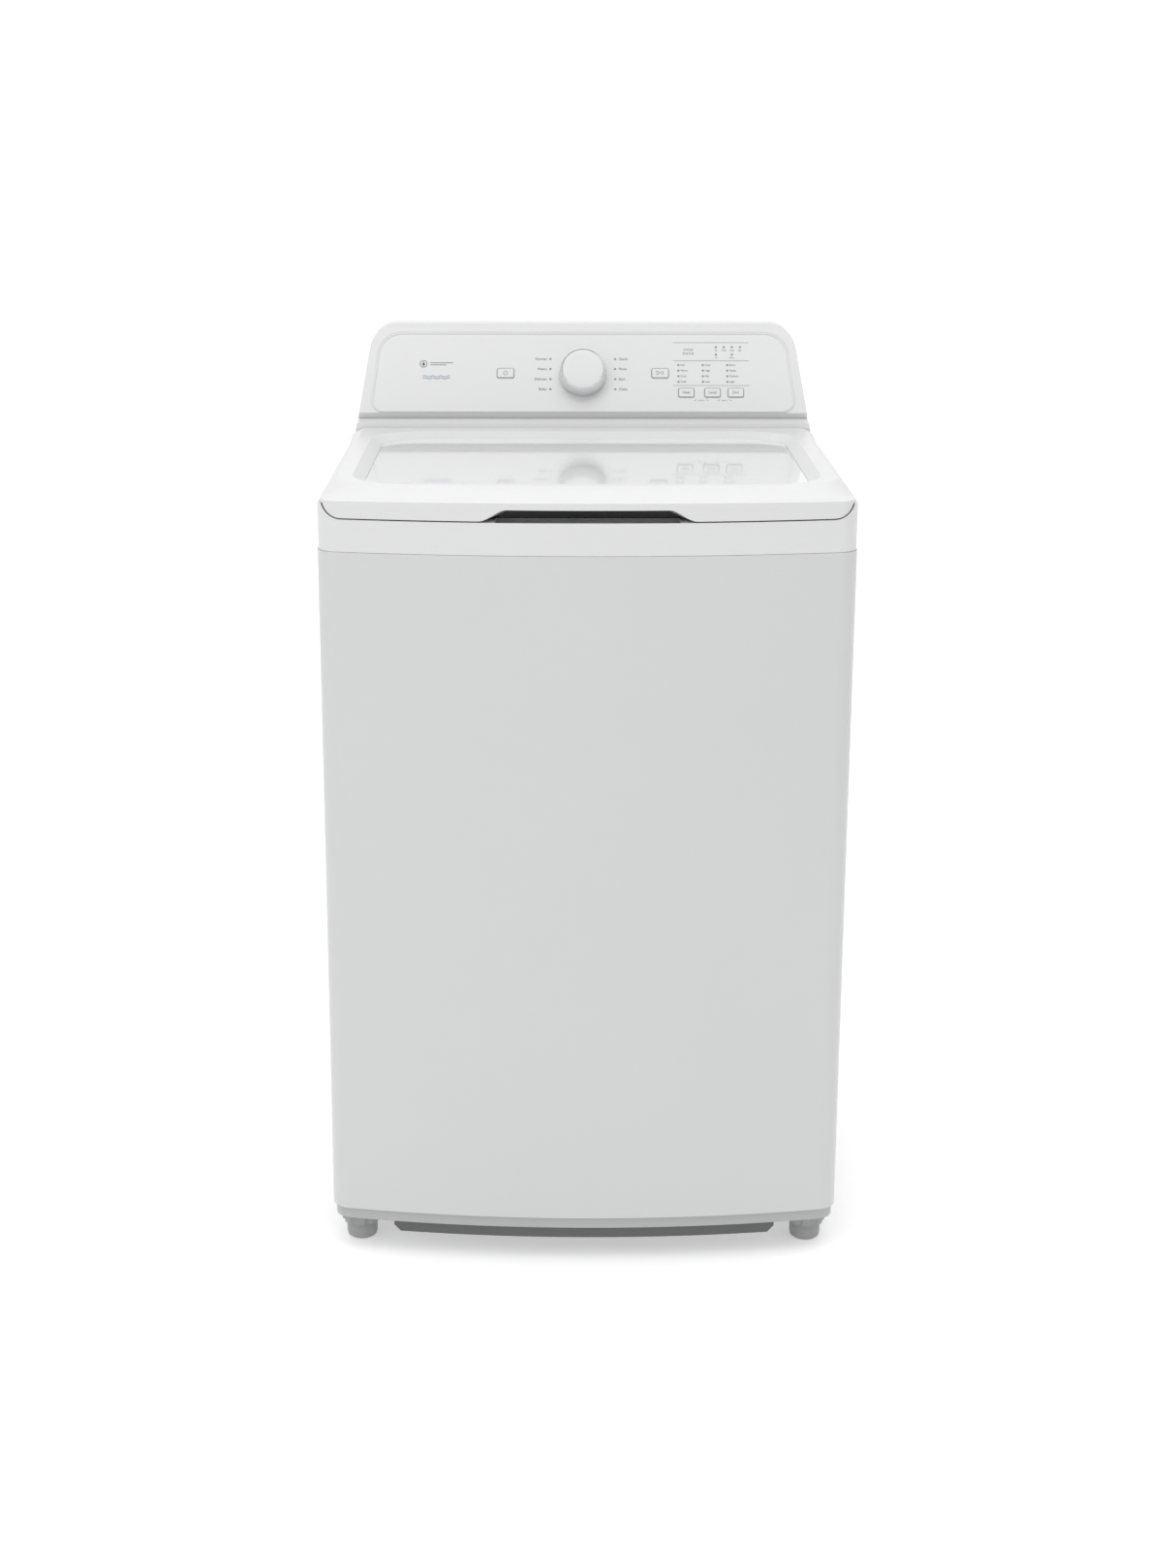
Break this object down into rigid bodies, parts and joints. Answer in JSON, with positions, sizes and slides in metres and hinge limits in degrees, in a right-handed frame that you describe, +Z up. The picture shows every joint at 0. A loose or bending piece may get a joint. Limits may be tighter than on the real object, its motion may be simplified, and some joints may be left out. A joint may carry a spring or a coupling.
{
  "type": "top load washing machine",
  "caption": "Top load washing machine: bowed cabinet, hinged lid with a rounded dish, raised control console, agitator and suspended tub.",
  "frame": {"origin": "on the floor under the middle of the cabinet", "axes": "+Z up, -Y towards the user, +X to the user's right"},
  "size_m": [0.686, 0.7122, 1.198],
  "materials": {
    "white_paint": "gloss enamel",
    "white_plastic": "semi-gloss",
    "dish_gloss": "high gloss",
    "grey_plastic": "matt",
    "base_grey": "satin",
    "foot_grey": "matt",
    "ring_silver": "turned",
    "lamp": "translucent",
    "black_plastic": "matt",
    "board_green": "satin",
    "steel": "brushed",
    "zinc": "galvanised",
    "tub_plastic": "matt",
    "cast": "as cast",
    "rubber": "matt",
    "agitator_plastic": "satin"
  },
  "bodies": {
    "cabinet": {"cabinet_shell": "white_paint", "rear_panel": "zinc", "mains_gland": "black_plastic", "base_pan": "base_grey", "kick_plate": "grey_plastic", "foot_lock_nuts": "zinc", "levelling_foot_1": "foot_grey", "levelling_foot_2": "foot_grey", "levelling_foot_3": "foot_grey", "levelling_foot_4": "foot_grey", "top_cover": "white_plastic", "hinge_pins": "zinc", "lid_lock": "black_plastic", "console_housing": "white_plastic", "console_panel": "white_plastic", "indicator_lights": "lamp", "push_switches": "black_plastic", "control_board": "board_green", "rotary_encoder": "zinc", "console_back": "zinc", "suspension_rods": "zinc", "spring_cups": "black_plastic", "suspension_springs": "steel", "inlet_valve": "tub_plastic", "water_chute": "tub_plastic", "drain_pump": "tub_plastic", "drain_hose": "rubber", "drain_outlet": "black_plastic", "rear_screws": "zinc"},
    "lid": {"lid_frame": "white_plastic", "lid_panel": "dish_gloss", "lid_liner": "white_plastic", "lid_strike": "white_plastic"},
    "lock_bolt": {"lid_lock_bolt": "black_plastic"},
    "knob": {"knob_ring": "ring_silver", "knob_cap": "white_plastic", "knob_spindle": "steel"},
    "power_button": {"power_button": "white_plastic"},
    "start_button": {"start_button": "white_plastic"},
    "temperature_button": {"temperature_button": "white_plastic"},
    "water_button": {"water_button": "white_plastic"},
    "soil_button": {"soil_button": "white_plastic"},
    "tub": {"outer_tub": "tub_plastic", "tub_cover": "tub_plastic", "drive_plate": "zinc", "gear_case": "cast", "motor": "zinc", "drive_belt": "rubber"},
    "basket": {"basket_wall": "steel", "basket_floor": "steel", "balance_ring": "tub_plastic", "drive_hub": "cast", "spin_tube": "steel"},
    "agitator": {"agitator_base": "agitator_plastic", "agitator_auger": "agitator_plastic", "agitator_cap": "agitator_plastic", "agitator_shaft": "steel", "drive_pulley": "cast"},
    "motor_pulley": {"motor_pulley": "cast"},
    "impeller": {"pump_impeller": "black_plastic"}
  },
  "joints": [
    {"name": "lid_hinge", "type": "hinge", "parent": "cabinet", "child": "lid", "pos_m": [0, 0.21, 1.046], "axis": [-1, 0, 0], "range_deg": [0, 96]},
    {"name": "lock_bolt_slide", "type": "slide", "parent": "cabinet", "child": "lock_bolt", "axis": [0, -1, 0], "range_m": [0, 0.018]},
    {"name": "knob_turn", "type": "hinge", "parent": "cabinet", "child": "knob", "pos_m": [0, 0.26509, 1.12655], "axis": [0, -0.8788, 0.4772], "continuous": true},
    {"name": "tub_suspension", "type": "slide", "parent": "cabinet", "child": "tub", "axis": [0, 0, 1], "range_m": [-0.02, 0.02], "stiffness_N_per_m": 12000, "springref_m": 0.0346, "deforming": ["suspension_springs"]},
    {"name": "basket_spin", "type": "hinge", "parent": "tub", "child": "basket", "pos_m": [0, 0, 0.352], "axis": [0, 0, 1], "continuous": true},
    {"name": "agitator_turn", "type": "hinge", "parent": "tub", "child": "agitator", "pos_m": [0, 0, 0.352], "axis": [0, 0, 1], "continuous": true},
    {"name": "motor_turn", "type": "hinge", "parent": "tub", "child": "motor_pulley", "pos_m": [0.178, 0, 0.196], "axis": [0, 0, 1], "continuous": true},
    {"name": "impeller_turn", "type": "hinge", "parent": "cabinet", "child": "impeller", "pos_m": [0.21, -0.2, 0.11], "axis": [0, 0, 1], "continuous": true},
    {"name": "power_button_press", "type": "slide", "parent": "cabinet", "child": "power_button", "axis": [0, 0.8788, -0.4772], "range_m": [0, 0.001], "stiffness_N_per_m": 900, "springref_m": -0.0005},
    {"name": "start_button_press", "type": "slide", "parent": "cabinet", "child": "start_button", "axis": [0, 0.8788, -0.4772], "range_m": [0, 0.001], "stiffness_N_per_m": 900, "springref_m": -0.0005},
    {"name": "temperature_button_press", "type": "slide", "parent": "cabinet", "child": "temperature_button", "axis": [0, 0.8788, -0.4772], "range_m": [0, 0.001], "stiffness_N_per_m": 900, "springref_m": -0.0005},
    {"name": "water_button_press", "type": "slide", "parent": "cabinet", "child": "water_button", "axis": [0, 0.8788, -0.4772], "range_m": [0, 0.001], "stiffness_N_per_m": 900, "springref_m": -0.0005},
    {"name": "soil_button_press", "type": "slide", "parent": "cabinet", "child": "soil_button", "axis": [0, 0.8788, -0.4772], "range_m": [0, 0.001], "stiffness_N_per_m": 900, "springref_m": -0.0005}
  ],
  "couplings": [
    {"joint": "motor_turn", "follows": "agitator_turn", "ratio": 4}
  ]
}
